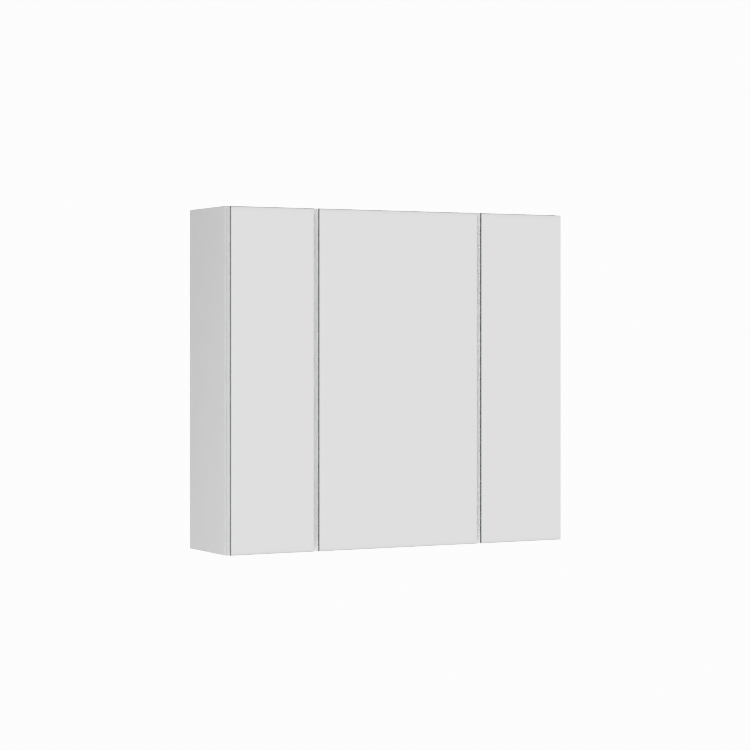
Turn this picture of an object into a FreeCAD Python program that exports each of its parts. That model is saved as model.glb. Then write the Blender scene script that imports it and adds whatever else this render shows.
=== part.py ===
import FreeCAD
import Part
import os
from FreeCAD import Vector

# A wall-hung medicine cabinet with three mirror doors: narrow, wide, narrow.
# Millimetres. X runs to the right seen from the front, Y into the wall, Z up.
# The origin is the centre of the four wall screws, on the wall's surface.

# Overall sizes and boards
WIDTH = 800.0
HEIGHT = 720.0
DEPTH = 210.0
BOARD = 16.0
MIRROR_GLASS = 4.0
TAPE = 1.0
LIPPING = 12.0
DOOR_BACK_GAP = 3.5
TOP_Z = 62.0

# Doors: the two gaps between them, wider and narrower, are centred on the partitions
SPLITS = {"left": -203.2, "right": 189.7}
DOOR_SPACING = {"left": 10.5, "right": 8.5}
DOOR_REVEAL = 2.0

# Back panel and the space behind it
BACK_PANEL = 3.0
BACK_SPACE = 15.0
GROOVE_DEPTH = 6.0
GROOVE_PLAY = 0.1

# Shelves on rows of holes, 32 mm apart
SHELF_GLASS = 6.0
HOLE_PITCH = 32.0
HOLE_ROWS = 12
FIRST_ROW = 184.0
SHELF_ROWS = {"lower": 2, "upper": 9}
HOLE_R = 2.5
HOLE_DEPTH = 7.0
PIN_SEAT = 2.2

# Cup hinges: places are measured from the door's hinge edge and the carcass's front
HINGE_INSET = 92.0
CUP_R = 17.5
CUP_DEPTH = 13.0
CUP_WALL = 0.8
CUP_CENTRE = 20.5
PIVOT_IN = 8.0
PIVOT_BELOW = 9.2
HINGE_PIN_R = 1.25
ARM_HALF = 4.9
LEG_IN = 18.8
LEG_THICK = 2.4
PLATE_THICK = 2.0

# Cams that draw the carcass's corners together
CAM_IN = 24.0
CAM_R = 7.5

# Wall fixing
WALL_HOLE_X = 352.0
WALL_HOLE_Z = 12.0
WALL_HOLE_R = 2.75
WALL_PLATE = 2.0

# Worked out from the sizes above
HALF = WIDTH / 2
INNER = HALF - BOARD
BOTTOM_Z = TOP_Z - HEIGHT
CEILING_Z = TOP_Z - BOARD
FLOOR_Z = BOTTOM_Z + BOARD
DOOR_DEPTH = BOARD + TAPE + MIRROR_GLASS
FRONT_Y = -(DEPTH - DOOR_DEPTH - DOOR_BACK_GAP)
DOOR_BACK_Y = FRONT_Y - DOOR_BACK_GAP
BOARD_FRONT_Y = DOOR_BACK_Y - BOARD
GLASS_BACK_Y = BOARD_FRONT_Y - TAPE
BACK_FRONT_Y = -(BACK_SPACE + BACK_PANEL)
PIVOT_Y = -DOOR_BACK_GAP - PIVOT_BELOW
FRONT_HOLES_Y = FRONT_Y + 37.0
REAR_HOLES_Y = FRONT_HOLES_Y + 3 * HOLE_PITCH
CAM_PLACES = (FRONT_Y + 60.0, -66.0)
DOOR_BOTTOM = BOTTOM_Z + DOOR_REVEAL
DOOR_TOP = TOP_Z - DOOR_REVEAL
HINGE_LEVELS = (DOOR_BOTTOM + HINGE_INSET, DOOR_TOP - HINGE_INSET)

# Each compartment's inner walls, left and right
COMPARTMENTS = {
    "left": (-INNER, SPLITS["left"] - BOARD / 2),
    "centre": (SPLITS["left"] + BOARD / 2, SPLITS["right"] - BOARD / 2),
    "right": (SPLITS["right"] + BOARD / 2, INNER),
}

# Each door's left and right edge, the side its hinges are on, and how far the wall
# that carries the hinge arms stands in from the door's hinge edge
DOORS = {
    "left": (-HALF, SPLITS["left"] - DOOR_SPACING["left"] / 2, "left", BOARD),
    "centre": (SPLITS["left"] + DOOR_SPACING["left"] / 2,
               SPLITS["right"] - DOOR_SPACING["right"] / 2, "left",
               (BOARD - DOOR_SPACING["left"]) / 2),
    "right": (SPLITS["right"] + DOOR_SPACING["right"] / 2, HALF, "right", BOARD),
}


def block(x, y, z):
    """A box from three pairs of limits."""
    low = Vector(min(x), min(y), min(z))
    return Part.makeBox(abs(x[1] - x[0]), abs(y[1] - y[0]), abs(z[1] - z[0]), low)


def rod(radius, start, end):
    """A cylinder between two points."""
    start = Vector(*start)
    run = Vector(*end) - start
    return Part.makeCylinder(radius, run.Length, start, run)


def taper(radius_start, radius_end, start, end):
    """A cone between two points."""
    start = Vector(*start)
    run = Vector(*end) - start
    return Part.makeCone(radius_start, radius_end, run.Length, start, run)


def joined(shapes):
    """One solid made of several that touch or overlap."""
    whole = shapes[0].multiFuse(shapes[1:])
    return whole.removeSplitter()


def group(shapes):
    """Several separate solids that share a node."""
    return Part.makeCompound([solid for shape in shapes for solid in shape.Solids])


def cross_slot(axis, face, depth, reach, width=0.8):
    """Two crossed slots for a driver, from the middle of a head's face along an axis."""
    slots = []
    for halves in ((reach, width / 2), (width / 2, reach)):
        across = iter(halves)
        limits = []
        for name, middle in zip("xyz", face):
            half = 0 if name == axis else next(across)
            limits.append((middle - half, middle + (half or depth)))
        slots.append(block(*limits))
    return slots


def edges_along(shape, axis, **place):
    """The straight edges along one axis whose middle has the coordinates in place."""
    found = []
    for edge in shape.Edges:
        run = edge.Vertexes[-1].Point - edge.Vertexes[0].Point
        along = abs(getattr(run, axis)) > 0.999 * run.Length > 0
        middle = edge.CenterOfMass
        if along and all(abs(getattr(middle, k) - v) < 0.01 for k, v in place.items()):
            found.append(edge)
    return found


def save(name, shape):
    """One node: every solid is checked, then the file is written."""
    assert shape.isValid() and shape.Solids, name
    shape.exportStep("parts/" + name + ".step")


# ---------------------------------------------------------------- carcass fasteners

def sides_and_levels():
    """The four corners of the carcass: side, sign, and the middle of the cross board."""
    for sign in (-1, 1):
        for level in (TOP_Z - BOARD / 2, BOTTOM_Z + BOARD / 2):
            yield sign, level


def dowels():
    """Beech dowels, two at each corner, a third of each in the side panel."""
    radius, length, in_side = 4.0, 30.0, 10.0
    outer = INNER + in_side
    places = (FRONT_Y + 28.0, -34.0)
    return group([rod(radius, (sign * outer, y, z), (sign * (outer - length), y, z))
                  for sign, z in sides_and_levels() for y in places])


def cam_locks(bore=False):
    """Cams let into the hidden faces of the top and bottom panels, two a corner.

    Every fastener made with bore=True has no driver slot, and cuts its own bore."""
    depth = 12.5
    cams = []
    for sign, level in sides_and_levels():
        outward = 1 if level > 0 else -1
        face = level + outward * BOARD / 2
        x = sign * (INNER - CAM_IN)
        for y in CAM_PLACES:
            cam = rod(CAM_R, (x, y, face - outward * depth), (x, y, face))
            slots = cross_slot("z", (x, y, face), -outward * 2.0, 4.5, 1.3)
            cams.append(cam if bore else cam.cut(slots + [cam_bolts()]))
    return group(cams)


def cam_bolts():
    """Steel bolts that the cams pull on, screwed into the side panels."""
    thread, in_cam = 11.0, 1.5
    bolts = []
    for sign, level in sides_and_levels():
        for y in CAM_PLACES:
            seat = sign * INNER
            end = sign * (INNER - CAM_IN + CAM_R - in_cam)
            bolts.append(joined([rod(2.5, (seat, y, level), (seat + sign * thread, y, level)),
                                 rod(3.5, (end, y, level), (seat, y, level))]))
    return group(bolts)


def partition_screws(bore=False):
    """Countersunk screws through the top and bottom panels into the partitions."""
    length, head, head_r, neck_r, thread_r = 50.0, 3.0, 5.0, 3.5, 2.5
    screws = []
    for x in SPLITS.values():
        for outward, face in ((1, TOP_Z), (-1, BOTTOM_Z)):
            for y in (FRONT_Y + 45.0, -60.0):
                def at(depth):
                    return (x, y, face - outward * depth)
                screw = joined([taper(head_r, neck_r, at(0), at(head)),
                                rod(neck_r, at(head), at(BOARD)),
                                rod(thread_r, at(BOARD), at(length))])
                socket = rod(2.0, at(0), at(2.5))
                screws.append(screw if bore else screw.cut(socket))
    return group(screws)


# ---------------------------------------------------------------- carcass boards

def shelf_holes(x, into):
    """Two columns of blind holes in the face at x, drilled along into (-1 or 1)."""
    holes = []
    for row in range(HOLE_ROWS):
        z = BOTTOM_Z + FIRST_ROW + row * HOLE_PITCH
        for y in (FRONT_HOLES_Y, REAR_HOLES_Y):
            holes.append(rod(HOLE_R, (x, y, z), (x + into * HOLE_DEPTH, y, z)))
    return holes


def back_groove():
    """The space that the back panel's edges take in the boards around it."""
    reach_x = INNER + GROOVE_DEPTH
    return block((-reach_x, reach_x),
                 (BACK_FRONT_Y - GROOVE_PLAY, -BACK_SPACE + GROOVE_PLAY),
                 (FLOOR_Z - GROOVE_DEPTH, CEILING_Z + GROOVE_DEPTH))


def side_panel(sign, fittings):
    """A full-height side, which ends behind its lipping."""
    outer, inner = sign * HALF, sign * INNER
    panel = block((inner, outer), (FRONT_Y + LIPPING, 0), (BOTTOM_Z, TOP_Z))
    panel = panel.makeChamfer(0.3, edges_along(panel, "z", x=outer, y=FRONT_Y + LIPPING))
    return panel.cut(shelf_holes(inner, sign) + [back_groove()] + fittings)


def side_lipping(sign):
    """A solid strip glued along the side's front edge, with rounded corners."""
    outer, inner = sign * HALF, sign * INNER
    strip = block((inner, outer), (FRONT_Y, FRONT_Y + LIPPING), (BOTTOM_Z, TOP_Z))
    return strip.makeFillet(1.0, edges_along(strip, "z", y=FRONT_Y))


def cross_panel(level, fittings):
    """The top or bottom panel, between the sides."""
    panel = block((-INNER, INNER), (FRONT_Y, 0), (level - BOARD / 2, level + BOARD / 2))
    panel = panel.makeFillet(1.0, edges_along(panel, "x", y=FRONT_Y))
    return panel.cut([back_groove()] + fittings)


def partition(x, fittings):
    """An upright between two compartments, in front of the back panel."""
    left, right = x - BOARD / 2, x + BOARD / 2
    panel = block((left, right), (FRONT_Y, BACK_FRONT_Y), (FLOOR_Z, CEILING_Z))
    panel = panel.makeFillet(1.0, edges_along(panel, "z", y=FRONT_Y))
    return panel.cut(shelf_holes(left, 1) + shelf_holes(right, -1) + fittings)


def back_panel():
    """A thin panel with its two upper corners cut away for the hanger hooks."""
    reach = GROOVE_DEPTH - 1.0
    half = INNER + reach
    panel = block((-half, half), (BACK_FRONT_Y, -BACK_SPACE), (FLOOR_Z - reach, CEILING_Z + reach))
    notch_in, notch_down = 20.0, 24.0
    corners = [block((sign * (INNER - notch_in), sign * (half + 1)), (BACK_FRONT_Y - 1, 0),
                     (CEILING_Z - notch_down, TOP_Z)) for sign in (-1, 1)]
    return panel.cut(corners)


# ---------------------------------------------------------------- shelves

def shelf_level(name):
    """The height of a shelf's pins."""
    return BOTTOM_Z + FIRST_ROW + SHELF_ROWS[name] * HOLE_PITCH


def shelf(compartment, name):
    """A glass shelf with rounded corners, lying on four pins."""
    play, front, back = 1.5, 20.0, 4.0
    left, right = COMPARTMENTS[compartment]
    bottom = shelf_level(name) + PIN_SEAT
    pane = block((left + play, right - play), (FRONT_Y + front, BACK_FRONT_Y - back),
                 (bottom, bottom + SHELF_GLASS))
    pane = pane.makeFillet(5.0, edges_along(pane, "z"))
    rims = [edge for edge in pane.Edges if edge.BoundBox.ZLength < 0.01]
    return pane.makeChamfer(0.6, rims)


def shelf_pins(compartment):
    """Eight pins: a stub in the hole, a collar, and a peg with a flat seat."""
    pins = []
    for wall, out in zip(COMPARTMENTS[compartment], (1, -1)):
        for name in SHELF_ROWS:
            for y in (FRONT_HOLES_Y, REAR_HOLES_Y):
                z = shelf_level(name)
                stub = rod(HOLE_R - 0.1, (wall - out * (HOLE_DEPTH - 0.5), y, z), (wall, y, z))
                collar = rod(3.6, (wall, y, z), (wall + out, y, z))
                peg = rod(3.2, (wall + out, y, z), (wall + out * 9.0, y, z))
                above = block((wall + out, wall + out * 10.0), (y - 4, y + 4),
                              (z + PIN_SEAT, z + 5.0))
                pins.append(joined([stub, collar, peg.cut(above)]))
    return group(pins)


# ---------------------------------------------------------------- hinges
# Each function makes one hinge about the door's hinge edge: x runs from that edge
# towards the free edge, y into the cabinet from the carcass's front, z from the hinge.

def hinge_pin():
    """The pin that the door turns on, held in the cup."""
    return rod(HINGE_PIN_R, (PIVOT_IN, PIVOT_Y, -6.8), (PIVOT_IN, PIVOT_Y, 6.8))


def hinge_cup():
    """A pressed cup with a screw flange, and two lugs that hold the pin."""
    back = -DOOR_BACK_GAP
    floor = back - CUP_DEPTH
    shell = rod(CUP_R, (CUP_CENTRE, floor, 0), (CUP_CENTRE, back, 0))
    flange = block((12.0, 36.0), (back, back + 1.2), (-30.0, 30.0))
    flange = flange.makeFillet(6.0, edges_along(flange, "y"))
    inside = rod(CUP_R - CUP_WALL, (CUP_CENTRE, floor + CUP_WALL, 0), (CUP_CENTRE, back + 2.0, 0))
    cup = joined([shell, flange]).cut(inside)
    lugs = []
    for sign in (-1, 1):
        lug = block((4.0, 11.2), (floor + 0.2, PIVOT_Y), (sign * 5.3, sign * 6.8))
        eye = rod(3.2, (PIVOT_IN, PIVOT_Y, sign * 5.3), (PIVOT_IN, PIVOT_Y, sign * 6.8))
        lugs.append(joined([lug, eye]).common(shell))
    cup = joined([cup] + lugs)
    return cup.cut([hinge_pin()] + cup_screws(bore=True))


def cup_screws(bore=False):
    """Two screws through the flange into the door board."""
    seat = 1.2 - DOOR_BACK_GAP
    screws = []
    for z in (-22.5, 22.5):
        x = CUP_CENTRE + 9.5
        head = taper(3.8, 3.0, (x, seat, z), (x, seat + 1.0, z))
        shank = rod(1.9, (x, seat - 12.0, z), (x, seat, z))
        screw = joined([head, shank])
        slots = cross_slot("y", (x, seat + 1.0, z), -0.6, 2.2)
        screws.append(screw if bore else screw.cut(slots))
    return screws


def hinge_arm(wall):
    """The arm: an eye on the pin, a gooseneck round the door's edge, and a channel."""
    half = (-ARM_HALF, ARM_HALF)
    leg_x = (LEG_IN, LEG_IN + LEG_THICK)
    bar_y = (PIVOT_Y - LEG_THICK / 2, PIVOT_Y + LEG_THICK / 2)
    web = (wall + 11.4, wall + 12.8)
    nose_y = (1.5, 9.0)
    eye = rod(2.8, (PIVOT_IN, PIVOT_Y, -ARM_HALF), (PIVOT_IN, PIVOT_Y, ARM_HALF))
    gooseneck = block((PIVOT_IN, leg_x[1]), (bar_y[0], nose_y[0]), half)
    hollow = block((PIVOT_IN - 1.0, leg_x[0]), (bar_y[1], nose_y[0] + 1.0), half)
    gooseneck = gooseneck.makeFillet(3.0, edges_along(gooseneck, "z", x=leg_x[1], y=bar_y[0]))
    hollow = hollow.makeFillet(1.0, edges_along(hollow, "z", x=leg_x[0], y=bar_y[1]))
    gooseneck = gooseneck.cut(hollow)
    nose = block((min(wall + PLATE_THICK + 0.6, leg_x[0]), max(web[1], leg_x[1])), nose_y, half)
    nose = nose.makeFillet(1.5, edges_along(nose, "z", y=nose_y[0]))
    channel = block((wall + PLATE_THICK + 0.6, web[1]), (nose_y[1] - 0.5, 66.0), (-7.0, 7.0))
    channel = channel.makeFillet(1.2, edges_along(channel, "y", x=web[1]))
    trough = block((wall, web[0]), (nose_y[1] + 0.9, 67.0), (-5.6, 5.6))
    arm = joined([eye, gooseneck, nose, channel.cut(trough)])
    bore = rod(HINGE_PIN_R + 0.08, (PIVOT_IN, PIVOT_Y, -6.0), (PIVOT_IN, PIVOT_Y, 6.0))
    return arm.cut([bore, clamp_screw(wall, bore=True)])


def clamp_screw(wall, bore=False):
    """The screw that clamps the arm on its plate."""
    y = 52.0
    web = wall + 12.8
    head = rod(4.2, (web, y, 0), (web + 2.2, y, 0))
    shank = rod(2.5, (wall + 3.0, y, 0), (web, y, 0))
    screw = joined([head, shank])
    return screw if bore else screw.cut(cross_slot("x", (web + 2.2, y, 0), -1.0, 2.8, 1.0))


def plate_screws(wall, bore=False):
    """Two countersunk screws that fix the mounting plate, 32 mm apart."""
    y = FRONT_HOLES_Y - FRONT_Y
    screws = []
    for z in (-HOLE_PITCH / 2, HOLE_PITCH / 2):
        head = taper(HOLE_R, 4.0, (wall + 0.4, y, z), (wall + PLATE_THICK, y, z))
        shank = rod(HOLE_R, (wall - 10.0, y, z), (wall + 0.4, y, z))
        screw = joined([head, shank])
        slots = cross_slot("x", (wall + PLATE_THICK, y, z), -0.8, 2.2)
        screws.append(screw if bore else screw.cut(slots))
    return screws


def hinge_plate(wall):
    """The cross-shaped mounting plate, with a boss that fills the arm's channel."""
    top = wall + PLATE_THICK
    base = block((wall, top), (20.0, 68.0), (-6.5, 6.5))
    wings = block((wall, top), (31.0, 43.0), (-24.0, 24.0))
    wings = wings.makeFillet(4.0, edges_along(wings, "x"))
    boss = block((top, wall + 11.1), (30.0, 62.0), (-5.3, 5.3))
    boss = boss.makeFillet(1.0, edges_along(boss, "y", x=wall + 11.1))
    plate = joined([base, wings, boss])
    return plate.cut(plate_screws(wall, bore=True) + [clamp_screw(wall, bore=True)])


def placed(door, shapes):
    """Hinge shapes set at both hinges of a door, mirrored where it hangs on the right."""
    left, right, side, _ = DOORS[door]
    edge = left if side == "left" else right
    out = []
    for level in HINGE_LEVELS:
        for shape in shapes:
            copy = shape.copy()
            if side == "right":
                copy = copy.mirror(Vector(0, 0, 0), Vector(1, 0, 0))
            copy.translate(Vector(edge, FRONT_Y, level))
            out.append(copy)
    return out


# ---------------------------------------------------------------- doors

def door_board(door):
    """A board with two bores for the hinge cups."""
    left, right = DOORS[door][:2]
    board = block((left, right), (BOARD_FRONT_Y, DOOR_BACK_Y), (DOOR_BOTTOM, DOOR_TOP))
    board = board.makeFillet(0.8, board.Edges)
    cup_bore = rod(CUP_R, (CUP_CENTRE, -DOOR_BACK_GAP - CUP_DEPTH, 0),
                   (CUP_CENTRE, -DOOR_BACK_GAP + 1.0, 0))
    return board.cut(placed(door, [cup_bore] + cup_screws(bore=True)))


def mirror(door):
    """A pane of silvered glass over the whole board, with a small arris."""
    left, right = DOORS[door][:2]
    front = GLASS_BACK_Y - MIRROR_GLASS
    pane = block((left, right), (front, GLASS_BACK_Y), (DOOR_BOTTOM, DOOR_TOP))
    rim = [edge for edge in pane.Edges if abs(edge.CenterOfMass.y - front) < 0.01]
    return pane.makeChamfer(1.2, rim)


def mirror_tape(door):
    """Foam tape between board and glass: a frame near the rim, and a middle strip."""
    inset, wide = 3.0, 14.0
    left, right = DOORS[door][:2]
    depth = (GLASS_BACK_Y, BOARD_FRONT_Y)

    def ring_block(inward):
        return block((left + inward, right - inward), depth,
                     (DOOR_BOTTOM + inward, DOOR_TOP - inward))

    middle = (left + right) / 2
    strip = block((middle - wide / 2, middle + wide / 2), depth,
                  (DOOR_BOTTOM + inset + wide, DOOR_TOP - inset - wide))
    return joined([ring_block(inset).cut(ring_block(inset + wide)), strip])


def bumpers(door):
    """Two soft pads on the door's back, near its free corners."""
    left, right, side, _ = DOORS[door]
    x = right - 22.0 if side == "left" else left + 22.0
    pads = []
    for z in (DOOR_BOTTOM + 8.0, DOOR_TOP - 8.0):
        foot = rod(4.0, (x, DOOR_BACK_Y, z), (x, DOOR_BACK_Y + 2.0, z))
        crown = taper(4.0, 2.6, (x, DOOR_BACK_Y + 2.0, z), (x, DOOR_BACK_Y + 3.2, z))
        pads.append(joined([foot, crown]))
    return group(pads)


# ---------------------------------------------------------------- wall hanging
# Hooks drop over the upper lips of two plates that are screwed to the wall.

HOOK_X = (INNER - 12.0, INNER - 7.0)
HOOK_Z = (31.3, 36.0)
LIP_Y = (-5.0, -3.0)


def on_side(sign, x):
    """A pair of x limits on one side of the cabinet."""
    return (sign * x[0], sign * x[1])


def hanger_hook(sign):
    """A steel hook from the hanger, through the back panel's notch, to the wall plate."""
    x = on_side(sign, HOOK_X)
    bar = block(x, (-52.0, -0.3), HOOK_Z)
    claw = block(x, (LIP_Y[1] + 0.3, -0.3), (23.0, HOOK_Z[0]))
    return joined([bar, claw])


def hanger_adjusters(sign, bore=False):
    """The two screws in the hanger's front, for height and depth."""
    x = sign * (INNER - 10.0)
    screws = []
    for z in (6.0, 22.0):
        shank = rod(2.5, (x, -52.0, z), (x, -30.0, z))
        head = rod(3.6, (x, -55.0, z), (x, -52.0, z))
        screw = joined([shank, head])
        screws.append(screw if bore else screw.cut(cross_slot("y", (x, -55.0, z), 1.4, 2.6, 1.0)))
    return screws


def hanger_fixings(sign, bore=False):
    """Two screws that hold the hanger's flange to the side panel."""
    y = -62.0
    screws = []
    for z in (2.0, 32.0):
        seat = sign * (INNER - 2.0)
        top = sign * (INNER - 3.8)
        head = taper(4.0, 3.0, (seat, y, z), (top, y, z))
        shank = rod(2.0, (sign * (INNER + 11.0), y, z), (seat, y, z))
        screw = joined([head, shank])
        slots = cross_slot("x", (top, y, z), sign * 1.0, 2.2)
        screws.append(screw if bore else screw.cut(slots))
    return screws


def hanger(sign):
    """The hanger's housing and flange, against the side panel and under the top."""
    top = CEILING_Z - 2.0
    flange = block((sign * INNER, sign * (INNER - 2.0)), (-70.0, -20.0), (-6.0, top))
    flange = flange.makeFillet(5.0, edges_along(flange, "x", y=-70.0))
    housing = block((sign * INNER, sign * (INNER - 18.0)), (-52.0, -20.0), (-6.0, top))
    housing = housing.makeFillet(2.5, edges_along(housing, "z", x=sign * (INNER - 18.0)))
    body = joined([flange, housing])
    fittings = hanger_adjusters(sign, bore=True) + hanger_fixings(sign, bore=True)
    return body.cut([hanger_hook(sign)] + fittings)


def wall_plate(sign):
    """A steel plate with two screw holes and a lip that stands off the wall."""
    x = (sign * (WALL_HOLE_X - 26.0), sign * (INNER - 1.0))
    plate = block(x, (-WALL_PLATE, 0), (-22.0, 22.0))
    step = block(x, (LIP_Y[0], 0), (20.0, 22.0))
    lip = block(x, LIP_Y, (20.0, 31.0))
    holes = [rod(WALL_HOLE_R, (sign * WALL_HOLE_X, -10.0, z), (sign * WALL_HOLE_X, 1.0, z))
             for z in (-WALL_HOLE_Z, WALL_HOLE_Z)]
    return joined([plate, step, lip]).cut(holes)


# ---------------------------------------------------------------- the assembly

def main():
    os.makedirs("parts", exist_ok=True)
    save("dowels", dowels())
    save("cam_locks", cam_locks())
    save("cam_bolts", cam_bolts())
    save("partition_screws", partition_screws())

    corner_bores = [dowels(), cam_bolts()]
    cross_bores = corner_bores + [cam_locks(bore=True), partition_screws(bore=True)]
    plate_bores = {door: placed(door, plate_screws(DOORS[door][3], bore=True)) for door in DOORS}
    for sign, side in ((-1, "left"), (1, "right")):
        bores = corner_bores + plate_bores[side] + hanger_fixings(sign, bore=True)
        save("side_panel_" + side, side_panel(sign, bores))
        save("side_lipping_" + side, side_lipping(sign))
        save("hanger_" + side, hanger(sign))
        save("hanger_hook_" + side, hanger_hook(sign))
        save("wall_plate_" + side, wall_plate(sign))
    save("hanger_screws", group([screw for sign in (-1, 1)
                                 for screw in hanger_adjusters(sign) + hanger_fixings(sign)]))
    save("top_panel", cross_panel(TOP_Z - BOARD / 2, cross_bores))
    save("bottom_panel", cross_panel(BOTTOM_Z + BOARD / 2, cross_bores))
    screw_bores = [partition_screws(bore=True)]
    save("partition_left", partition(SPLITS["left"], screw_bores + plate_bores["centre"]))
    save("partition_right", partition(SPLITS["right"], screw_bores))
    save("back_panel", back_panel())

    for compartment in COMPARTMENTS:
        save("shelf_pins_" + compartment, shelf_pins(compartment))
        for name in SHELF_ROWS:
            save("shelf_" + compartment + "_" + name, shelf(compartment, name))

    for door, (_, _, _, wall) in DOORS.items():
        save("door_board_" + door, door_board(door))
        save("mirror_" + door, mirror(door))
        save("mirror_tape_" + door, mirror_tape(door))
        save("bumpers_" + door, bumpers(door))
        save("hinge_cups_" + door, group(placed(door, [hinge_cup()])))
        save("hinge_pins_" + door, group(placed(door, [hinge_pin()])))
        save("cup_screws_" + door, group(placed(door, cup_screws())))
        save("hinge_arms_" + door, group(placed(door, [hinge_arm(wall)])))
        save("hinge_plates_" + door, group(placed(door, [hinge_plate(wall)])))
        save("hinge_screws_" + door, group(placed(door, plate_screws(wall) + [clamp_screw(wall)])))


main()
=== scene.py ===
import math
import bpy
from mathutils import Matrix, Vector


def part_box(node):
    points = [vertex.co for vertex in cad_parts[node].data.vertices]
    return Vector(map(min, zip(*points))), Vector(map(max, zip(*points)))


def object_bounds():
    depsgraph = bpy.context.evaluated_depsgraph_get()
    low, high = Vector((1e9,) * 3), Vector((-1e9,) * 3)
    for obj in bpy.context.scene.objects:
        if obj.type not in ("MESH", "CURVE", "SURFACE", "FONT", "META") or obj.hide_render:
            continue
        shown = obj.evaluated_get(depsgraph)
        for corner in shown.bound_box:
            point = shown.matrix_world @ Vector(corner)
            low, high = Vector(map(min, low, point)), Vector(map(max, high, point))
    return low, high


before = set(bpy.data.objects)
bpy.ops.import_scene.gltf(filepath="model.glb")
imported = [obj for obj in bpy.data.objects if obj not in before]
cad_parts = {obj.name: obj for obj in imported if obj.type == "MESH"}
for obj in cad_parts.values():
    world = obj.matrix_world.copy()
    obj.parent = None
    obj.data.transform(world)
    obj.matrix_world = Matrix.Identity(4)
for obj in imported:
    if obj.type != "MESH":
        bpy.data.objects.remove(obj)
cad_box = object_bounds()


# ---- Camera ------------------------------------------------------------------
# The cabinet is looked at from its left front, level, from a little above its middle.
# The camera stays upright, and a small shift sets the horizon above the picture's middle.
# Its distances are in heights of the cabinet.

CAMERA_TURN = 28.02
CAMERA_LENS = 110.82
HORIZON_SHIFT = -0.0541
BACK_OFF = 6.55
SIDE_STEP = 0.4099
EYE_LEVEL = 0.632
mirror_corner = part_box("mirror_left")[0]
front_left = Vector((mirror_corner.x, mirror_corner.y, cad_box[0][2]))
height = cad_box[1][2] - cad_box[0][2]
turn = math.radians(CAMERA_TURN)
ahead = Vector((math.sin(turn), math.cos(turn), 0))
rightwards = Vector((math.cos(turn), -math.sin(turn), 0))

camera_data = bpy.data.cameras.new("camera")
camera_data.sensor_width = 36.0
camera_data.lens = CAMERA_LENS
camera_data.shift_y = HORIZON_SHIFT
camera = bpy.data.objects.new("camera", camera_data)
camera.location = (front_left - ahead * BACK_OFF * height + rightwards * SIDE_STEP * height
                   + Vector((0, 0, EYE_LEVEL * height)))
camera.rotation_euler = (math.pi / 2, 0, -turn)
bpy.context.scene.collection.objects.link(camera)
bpy.context.scene.camera = camera


# ---- Studio ------------------------------------------------------------------
# A plain white room. A soft key light stands at the left front, close to level, with a weak
# one low at the left, and two more light the right side and the back. A pale floor lies
# well below, and is seen only from above.

bpy.context.scene.view_settings.view_transform = "Khronos PBR Neutral"
BACKDROP = 3.2
MIRRORED_CEILING = 1.1
MIRRORED_WALLS = 0.90
MIRRORED_REAR = 0.32
MIRRORED_FLOOR = 0.60
WALL_GLOW = 0.05
CEILING_GLOW = 0.40
FLOOR_DROP = 1.15
FLOOR_RADIUS = 2.6


class Value:
    """A shader socket that takes part in sums: each sum adds a Math node."""

    def __init__(self, finish, socket):
        self.finish = finish
        self.socket = socket

    def sum(self, operation, first, second):
        return self.finish.node("ShaderNodeMath", {"operation": operation}, {0: first, 1: second})

    def __add__(self, other):
        return self.sum("ADD", self, other)

    def __sub__(self, other):
        return self.sum("SUBTRACT", self, other)

    def __mul__(self, other):
        return self.sum("MULTIPLY", self, other)

    def __gt__(self, other):
        return self.sum("GREATER_THAN", self, other)

    def __lt__(self, other):
        return self.sum("LESS_THAN", self, other)

    def __rsub__(self, other):
        return self.sum("SUBTRACT", other, self)

    def __abs__(self):
        return self.sum("ABSOLUTE", self, 0.0)

    __radd__ = __add__
    __rmul__ = __mul__


class Finish:
    """A node tree under construction, for a material or for the room's light."""

    def __init__(self, owner):
        owner.use_nodes = True
        self.owner = owner
        self.tree = owner.node_tree
        self.tree.nodes.clear()

    def node(self, kind, settings, inputs, output=0):
        """Adds a node: its settings first, then its sockets' values or links."""
        node = self.tree.nodes.new(kind)
        for name, value in settings.items():
            if name == "stops":
                ramp = node.color_ramp
                while len(ramp.elements) < len(value):
                    ramp.elements.new(1.0)
                for element, (place, colour) in zip(ramp.elements, value):
                    element.position = place
                    element.color = (*colour, 1.0)
            else:
                setattr(node, name, value)
        for name, value in inputs.items():
            socket = node.inputs[name]
            if isinstance(value, Value):
                self.tree.links.new(value.socket, socket)
            elif socket.type == "RGBA" and len(value) == 3:
                socket.default_value = (*value, 1.0)
            else:
                socket.default_value = value
        return Value(self, node.outputs[output]) if node.outputs else None

    def mix(self, mask, first, second):
        """Colour first where the mask is 0, and second where it is 1."""
        return self.node("ShaderNodeMix", {"data_type": "RGBA"}, {0: mask, 6: first, 7: second}, 2)

    def step(self, value, start, end):
        """0 below start, 1 above end, and smooth between."""
        return self.node("ShaderNodeMapRange", {"interpolation_type": "SMOOTHSTEP"},
                         {"Value": value, "From Min": start, "From Max": end})

    def facing(self, axis):
        """How far a face looks along one of the object's axes, from -1 to 1."""
        return self.parts(self.node("ShaderNodeTexCoord", {}, {}, "Normal"))[axis]

    def parts(self, vector):
        """The x, y and z of a vector."""
        split = self.node("ShaderNodeSeparateXYZ", {}, {0: vector}).socket.node
        return [Value(self, output) for output in split.outputs]


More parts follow.
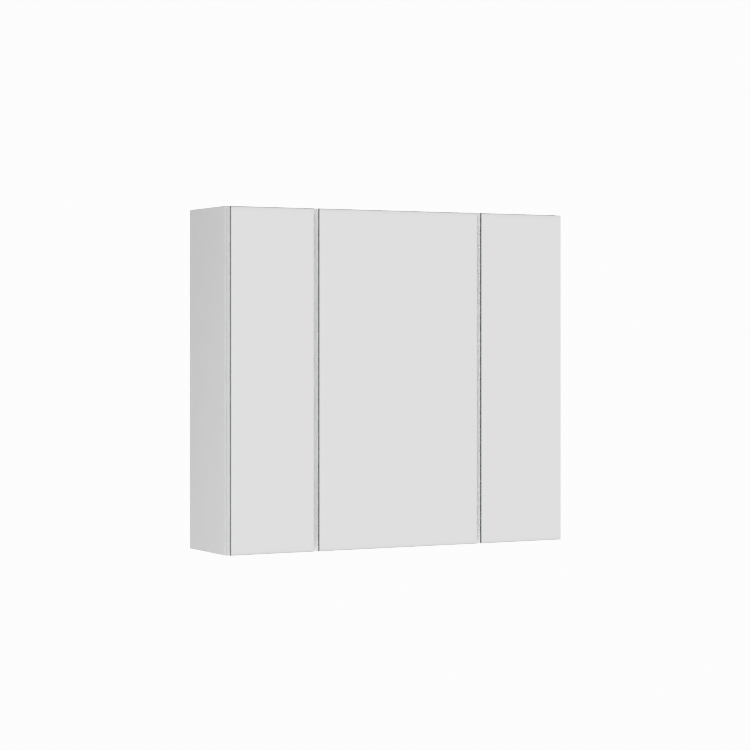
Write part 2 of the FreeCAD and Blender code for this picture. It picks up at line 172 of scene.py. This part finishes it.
room = Finish(bpy.data.worlds.new("studio"))
bpy.context.scene.world = room.owner
direction = room.node("ShaderNodeTexCoord", {}, {}, "Generated")
dir_y, dir_z = room.parts(direction)[1:]
rays = room.node("ShaderNodeLightPath", {}, {}).socket.node.outputs
rear = room.step(dir_y, -0.1, 0.5)
low = room.step(dir_z, -0.25, -0.75)
high = room.step(dir_z, 0.35, 0.85)
mirrored = room.mix(rear, (MIRRORED_WALLS,) * 3, (MIRRORED_REAR,) * 3)
mirrored = room.mix(low, mirrored, (MIRRORED_FLOOR,) * 3)
mirrored = room.mix(high, mirrored, (MIRRORED_CEILING,) * 3)
ambient = room.mix(high, (WALL_GLOW,) * 3, (CEILING_GLOW,) * 3)
shown = room.mix(Value(room, rays["Is Glossy Ray"]), (BACKDROP,) * 3, mirrored)
shown = room.mix(Value(room, rays["Is Diffuse Ray"]), shown, ambient)
glow = room.node("ShaderNodeBackground", {}, {"Color": shown, "Strength": 1.0})
room.node("ShaderNodeOutputWorld", {}, {"Surface": glow})


def principled(finish, **settings):
    """The surface shader. Words in a setting's name are joined by underscores."""
    inputs = {name.replace("_", " "): value for name, value in settings.items()}
    shader = finish.node("ShaderNodeBsdfPrincipled", {}, inputs)
    finish.node("ShaderNodeOutputMaterial", {}, {"Surface": shader})
    return finish.owner


def new_finish(name):
    """A new material, empty."""
    return Finish(bpy.data.materials.new(name))


def noise(finish, place, scale, detail=2.0, stretch=(1, 1, 1)):
    """Noise from 0 to 1, with scale in bumps a metre."""
    spot = finish.node("ShaderNodeVectorMath", {"operation": "MULTIPLY"}, {0: place, 1: stretch})
    return finish.node("ShaderNodeTexNoise", {}, {"Vector": spot, "Scale": scale, "Detail": detail})


def bump(finish, height_map, depth, strength=1.0):
    """Small relief in the surface, with its depth in metres."""
    return finish.node("ShaderNodeBump", {}, {"Strength": strength, "Distance": depth,
                                              "Height": height_map})


def floor_disc():
    """A round floor under the cabinet."""
    mesh = bpy.data.meshes.new("floor")
    count = 96
    z = cad_box[0][2] - FLOOR_DROP
    rim = [(FLOOR_RADIUS * math.cos(2 * math.pi * i / count),
            FLOOR_RADIUS * math.sin(2 * math.pi * i / count), z) for i in range(count)]
    mesh.from_pydata(rim, [], [tuple(range(count))])
    floor = bpy.data.objects.new("floor", mesh)
    bpy.context.scene.collection.objects.link(floor)
    return floor


floor_finish = new_finish("floor_paint")
floor_place = floor_finish.node("ShaderNodeTexCoord", {}, {}, "Object")
floor_grain = noise(floor_finish, floor_place, 60.0)
floor = floor_disc()
floor_paint = floor_finish.node("ShaderNodeBsdfPrincipled", {}, {
    "Roughness": 0.7 + 0.1 * floor_grain,
    "Base Color": floor_finish.mix(floor_grain, (0.86, 0.86, 0.86), (0.90, 0.90, 0.90))})
from_below = floor_finish.node("ShaderNodeNewGeometry", {}, {}, "Backfacing")
nothing = floor_finish.node("ShaderNodeBsdfTransparent", {}, {})
one_sided = floor_finish.node("ShaderNodeMixShader", {},
                              {0: from_below, 1: floor_paint, 2: nothing})
floor_finish.node("ShaderNodeOutputMaterial", {}, {"Surface": one_sided})
floor.data.materials.append(floor_finish.owner)


def soft_light(name, place, aim, size, watts):
    """A square softbox that points at a place on the cabinet. Mirrors don't show it."""
    data = bpy.data.lights.new(name, "AREA")
    data.size = size
    data.energy = watts
    lamp = bpy.data.objects.new(name, data)
    lamp.location = place
    lamp.rotation_euler = (Vector(aim) - Vector(place)).to_track_quat("-Z", "Y").to_euler()
    lamp.visible_glossy = False
    bpy.context.scene.collection.objects.link(lamp)


soft_light("key_light", (-2.25, -4.7, -0.3), (0, -0.2, -0.3), 0.6, 300.0)
soft_light("low_light", (-2.2, -0.6, -1.6), (-0.4, -0.1, -0.5), 0.9, 3.0)
soft_light("right_light", (3.6, -1.6, 0.6), (0, -0.1, -0.3), 1.4, 60.0)
soft_light("rear_light", (1.2, 3.6, 0.8), (0, 0, -0.3), 1.6, 50.0)


# ---- Carcass boards ----------------------------------------------------------
# Sides, top, bottom and partitions are 16 mm chipboard faced with white melamine that has
# a fine pearl texture. Their front edges are banded white, except on the sides, whose front
# faces behind the lippings get a painted shade grey. Their back edges are left raw.

SKIN = 0.0004
# A grey that is painted shade, for front faces in the narrow shaded gap behind the doors.
GAP_SHADE_GREY = (0.43, 0.43, 0.425)
CARCASS_WHITE = (0.735, 0.738, 0.735)


def chips(finish, place):
    """The raw core of chipboard: pale and dark flakes, and small gaps between them."""
    flakes = finish.node("ShaderNodeTexVoronoi", {}, {"Vector": place, "Scale": 420.0}, "Color")
    fine = noise(finish, place, 900.0, 4.0)
    tone = finish.parts(flakes)[0] * 0.7 + fine * 0.3
    return tone, finish.node("ShaderNodeValToRGB",
                             {"stops": [(0.2, (0.22, 0.13, 0.06)), (0.45, (0.48, 0.32, 0.17)),
                                        (0.8, (0.68, 0.50, 0.30))]}, {"Fac": tone})


def board_finish(name, node, thin, shade, in_carcass=True, front=GAP_SHADE_GREY):
    """White melamine. thin is the board's thin axis. A carcass board's front faces take the
    colour front, a painted shade grey on the sides, and its core shows at the back."""
    finish = new_finish(name)
    place = finish.node("ShaderNodeTexCoord", {}, {}, "Object")
    pearl = noise(finish, place, 1100.0, 1.5)
    cloud = noise(finish, place, 7.0)
    colour = finish.mix(cloud, tuple(c * 0.985 for c in shade), shade)
    roughness = 0.40 + 0.07 * pearl
    relief = pearl * 0.35
    if in_carcass:
        # Front faces take the colour front; on the sides that is painted shade grey.
        colour = finish.mix(finish.facing(1) < -0.5, colour, front)
        low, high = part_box(node)
        from_middle = abs(finish.parts(place)[thin] - (low[thin] + high[thin]) / 2)
        core = (finish.facing(1) > 0.7) * (from_middle < (high[thin] - low[thin]) / 2 - SKIN)
        tone, raw = chips(finish, place)
        colour = finish.mix(core, colour, raw)
        roughness = roughness + core * 0.4
        relief = relief + core * tone * 4.0
    return principled(finish, Base_Color=colour, Roughness=roughness, Specular_IOR_Level=0.45,
                      Normal=bump(finish, relief, 0.00012))


def dress(node, material):
    """Gives a CAD piece its finish."""
    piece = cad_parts[node]
    piece.data.materials.clear()
    piece.data.materials.append(material)


for board, thin in (("side_panel_left", 0), ("side_panel_right", 0), ("partition_left", 0),
                    ("partition_right", 0), ("top_panel", 2), ("bottom_panel", 2)):
    # The sides' front faces get the painted shade grey; the other boards' stay white.
    front = GAP_SHADE_GREY if board.startswith("side") else CARCASS_WHITE
    dress(board, board_finish(board + "_melamine", board, thin, CARCASS_WHITE, front=front))


# ---- Side lippings -----------------------------------------------------------
# A solid strip, 12 mm deep, is glued along the front edge of each side and lacquered, so
# it's a shade lighter and smoother than the melamine behind it. Its front face is painted
# grey, a painted shade for the narrow gap behind the door.

LIPPING_WHITE = (0.76, 0.763, 0.76)
lacquer = new_finish("lipping_lacquer")
lacquer_place = lacquer.node("ShaderNodeTexCoord", {}, {}, "Object")
lacquer_flow = noise(lacquer, lacquer_place, 260.0, 2.0, (1, 1, 0.2))
lacquer_white = lacquer.mix(lacquer_flow, tuple(c * 0.985 for c in LIPPING_WHITE), LIPPING_WHITE)
# The front face gets the painted shade grey for the gap behind the door.
lipping_lacquer = principled(
    lacquer, Base_Color=lacquer.mix(lacquer.facing(1) < -0.5, lacquer_white, GAP_SHADE_GREY),
    Roughness=0.30 + 0.08 * lacquer_flow, Normal=bump(lacquer, lacquer_flow, 0.00003))
for side in ("left", "right"):
    dress("side_lipping_" + side, lipping_lacquer)


# ---- Back panel --------------------------------------------------------------
# Thin hard fibreboard, painted white on the side that faces the shelves and left brown
# towards the wall. It slides into grooves in the boards round it.

back = new_finish("fibreboard")
back_place = back.node("ShaderNodeTexCoord", {}, {}, "Object")
brown_side = back.facing(1) > -0.5
fibre = noise(back, back_place, 260.0, 6.0, (1, 1, 1.6))
blotch = noise(back, back_place, 14.0, 4.0)
strands = back.step(fibre, 0.32, 0.68)
brown = back.mix(strands, (0.20, 0.125, 0.070), (0.37, 0.255, 0.160))
brown = back.mix(0.55 * back.step(blotch, 0.35, 0.65), brown, (0.245, 0.160, 0.096))
paint = back.mix(fibre, (0.70, 0.70, 0.69), (0.73, 0.73, 0.72))
dress("back_panel", principled(
    back, Base_Color=back.mix(brown_side, paint, brown),
    Roughness=0.5 + brown_side * 0.25 + fibre * 0.08,
    Normal=bump(back, fibre * (0.3 + brown_side * 0.7), 0.00015)))


# ---- Carcass fasteners -------------------------------------------------------
# Zinc cams, steel bolts and screws, and beech dowels hold the boards together. Only the
# cams and the screw heads show, on the top panel's upper face and under the bottom panel.


def metal_finish(name, colour, roughness, grain_scale=500.0, stretch=(1, 1, 1), depth=0.00003):
    """Plated or cast metal with a fine grain and faint cloudy patches."""
    finish = new_finish(name)
    place = finish.node("ShaderNodeTexCoord", {}, {}, "Object")
    grain = noise(finish, place, grain_scale, 3.0, stretch)
    cloud = noise(finish, place, 45.0, 3.0)
    tint = finish.mix(cloud, tuple(c * 0.88 for c in colour), colour)
    return principled(finish, Base_Color=tint, Metallic=1.0,
                      Roughness=roughness + 0.10 * grain + 0.06 * cloud,
                      Normal=bump(finish, grain, depth, 0.6))


zinc_plating = metal_finish("zinc_plating", (0.66, 0.67, 0.69), 0.26, 700.0)
dress("cam_locks", metal_finish("cast_zinc", (0.50, 0.50, 0.52), 0.38, 900.0, depth=0.00008))
dress("cam_bolts", zinc_plating)
dress("partition_screws", zinc_plating)

beech = new_finish("beech")
beech_place = beech.node("ShaderNodeTexCoord", {}, {}, "Object")
beech_grain = noise(beech, beech_place, 240.0, 4.0, (0.12, 1, 1))
dress("dowels", principled(
    beech, Base_Color=beech.mix(beech_grain, (0.52, 0.36, 0.22), (0.70, 0.54, 0.36)),
    Roughness=0.6 + 0.15 * beech_grain, Normal=bump(beech, beech_grain, 0.0002)))


# ---- Door boards -------------------------------------------------------------
# Each door is a 16 mm board of the same white melamine, banded on all four edges, with
# two 35 mm bores at the back for its hinge cups. Its edges show in the gaps between doors,
# so its white is painted lighter than the carcass's, a painted light in those shaded gaps.

DOORS = ("left", "centre", "right")
# A lighter copy of the carcass white: painted light for the door edges in the gaps.
LIT_DOOR_WHITE = (0.775, 0.778, 0.775)
for door in DOORS:
    board = "door_board_" + door
    dress(board, board_finish(board + "_melamine", board, 1, LIT_DOOR_WHITE, in_carcass=False))


# ---- Mirror tape -------------------------------------------------------------
# White double-sided foam tape, 1 mm thick, holds each mirror to its board: a frame close
# to the mirror's rim and a strip down the middle.

foam = new_finish("tape_foam")
foam_place = foam.node("ShaderNodeTexCoord", {}, {}, "Object")
cells = foam.node("ShaderNodeTexVoronoi", {}, {"Vector": foam_place, "Scale": 2600.0}, "Distance")
tape_foam = principled(foam, Base_Color=foam.mix(cells, (0.70, 0.70, 0.68), (0.82, 0.82, 0.80)),
                       Roughness=0.75 + 0.1 * cells, Normal=bump(foam, cells, 0.00015))
for door in DOORS:
    dress("mirror_tape_" + door, tape_foam)


# ---- Mirrors -----------------------------------------------------------------
# Panes of 4 mm float glass, silvered and painted on the back. Their edges are ground, so
# they look dark green from the side, with a small arris at the front. Along the top and
# bottom rims the silver is painted darker, a painted shade.

GRINDING_SCALE = 1400.0
SILVER = (0.868, 0.868, 0.868)
# A darker silver that is painted shade near the top and bottom rims.
RIM_SHADE_SILVER = (0.73, 0.735, 0.73)
mirror = new_finish("silvered_glass")
mirror_place = mirror.node("ShaderNodeTexCoord", {}, {}, "Object")
mirror_facing = mirror.facing(1)
silver = mirror_facing < -0.95
arris = (mirror_facing < -0.3) * (1.0 - silver)
painted = mirror_facing > 0.5
grinding = noise(mirror, mirror_place, GRINDING_SCALE, 3.0, (1, 0.05, 1))
pane_low, pane_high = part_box("mirror_centre")
from_rim = (pane_high.z - pane_low.z) / 2 - abs(mirror.parts(mirror_place)[2]
                                                - (pane_low.z + pane_high.z) / 2)
# Painted shade: the silver darkens within 12 mm of the top and bottom rims, more within 4 mm.
faint_rim_shade = mirror.step(from_rim, 0.012, 0.004)
deep_rim_shade = mirror.step(from_rim, 0.0045, 0.0025)
rim_shade = 0.12 * faint_rim_shade + 0.45 * deep_rim_shade
glass_edge = mirror.mix(grinding, (0.012, 0.024, 0.019), (0.022, 0.040, 0.033))
look = mirror.mix(arris, glass_edge, (0.115, 0.145, 0.132))
look = mirror.mix(painted, look, (0.30, 0.33, 0.34))
look = mirror.mix(silver, look, mirror.mix(rim_shade, SILVER, RIM_SHADE_SILVER))
silvered_glass = principled(
    mirror, Base_Color=look, Metallic=silver, IOR=1.52,
    Roughness=(1.0 - silver) * (0.12 + 0.10 * grinding + painted * 0.4) + 0.004)
for door in DOORS:
    dress("mirror_" + door, silvered_glass)


# ---- Hinges ------------------------------------------------------------------
# Two a door. A pressed cup sits in the door board and holds the pin, a cast gooseneck arm
# turns about it, and the arm clamps on a mounting plate inside. All are nickel plated.

pressed_nickel = metal_finish("pressed_nickel", (0.68, 0.665, 0.63), 0.20, 600.0, (1, 1, 0.15))
cast_nickel = metal_finish("cast_nickel", (0.64, 0.63, 0.60), 0.27, 800.0, depth=0.00006)
for door in DOORS:
    dress("hinge_cups_" + door, pressed_nickel)
    dress("hinge_arms_" + door, cast_nickel)
    dress("hinge_plates_" + door, cast_nickel)
    dress("hinge_pins_" + door, zinc_plating)
    dress("cup_screws_" + door, zinc_plating)
    dress("hinge_screws_" + door, zinc_plating)


# ---- Bumpers -----------------------------------------------------------------
# Two clear soft pads on the back of each door, at its free corners, that meet the
# carcass's front edge as the door shuts.

pad = new_finish("clear_pad")
pad_place = pad.node("ShaderNodeTexCoord", {}, {}, "Object")
pad_haze = noise(pad, pad_place, 300.0)
clear_pad = principled(pad, Base_Color=pad.mix(pad_haze, (0.86, 0.87, 0.86), (0.92, 0.93, 0.92)),
                       Roughness=0.16 + 0.12 * pad_haze, Transmission_Weight=0.75, IOR=1.46)
for door in DOORS:
    dress("bumpers_" + door, clear_pad)


# ---- Shelves -----------------------------------------------------------------
# Clear 6 mm float glass with rounded corners and polished edges. Through its edge a sheet
# looks green, and each lies loose on four nickel pins pushed into the 5 mm holes.

sheet_glass = new_finish("shelf_float_glass")
shelf_place = sheet_glass.node("ShaderNodeTexCoord", {}, {}, "Object")
rim = 1.0 - sheet_glass.step(abs(sheet_glass.facing(2)), 0.2, 0.9)
rim_grain = noise(sheet_glass, shelf_place, GRINDING_SCALE, 3.0, (1, 1, 0.05))
float_glass = principled(
    sheet_glass, Base_Color=sheet_glass.mix(rim, (0.955, 0.985, 0.970), (0.30, 0.55, 0.45)),
    Roughness=0.01 + rim * (0.06 + 0.08 * rim_grain), Transmission_Weight=1.0, IOR=1.52)
pin_nickel = metal_finish("pin_nickel", (0.70, 0.69, 0.65), 0.18, 500.0)
for compartment in DOORS:
    dress("shelf_pins_" + compartment, pin_nickel)
    for level in ("lower", "upper"):
        dress("shelf_" + compartment + "_" + level, float_glass)


# ---- Wall hanging ------------------------------------------------------------
# A moulded white hanger in each upper rear corner holds a steel hook, which passes the
# back panel and drops over the lip of a steel plate that is screwed to the wall.

plastic = new_finish("moulded_white")
plastic_place = plastic.node("ShaderNodeTexCoord", {}, {}, "Object")
spark = noise(plastic, plastic_place, 1500.0)
moulded_white = principled(
    plastic, Base_Color=plastic.mix(spark, (0.76, 0.76, 0.745), (0.80, 0.80, 0.79)),
    Roughness=0.42 + 0.12 * spark, Normal=bump(plastic, spark, 0.0001))
strip_steel = metal_finish("strip_steel", (0.60, 0.61, 0.63), 0.30, 400.0, (1, 0.1, 1))
plate_steel = metal_finish("plate_steel", (0.58, 0.60, 0.63), 0.32, 120.0)
for side in ("left", "right"):
    dress("hanger_" + side, moulded_white)
    dress("hanger_hook_" + side, strip_steel)
    dress("wall_plate_" + side, plate_steel)
dress("hanger_screws", zinc_plating)
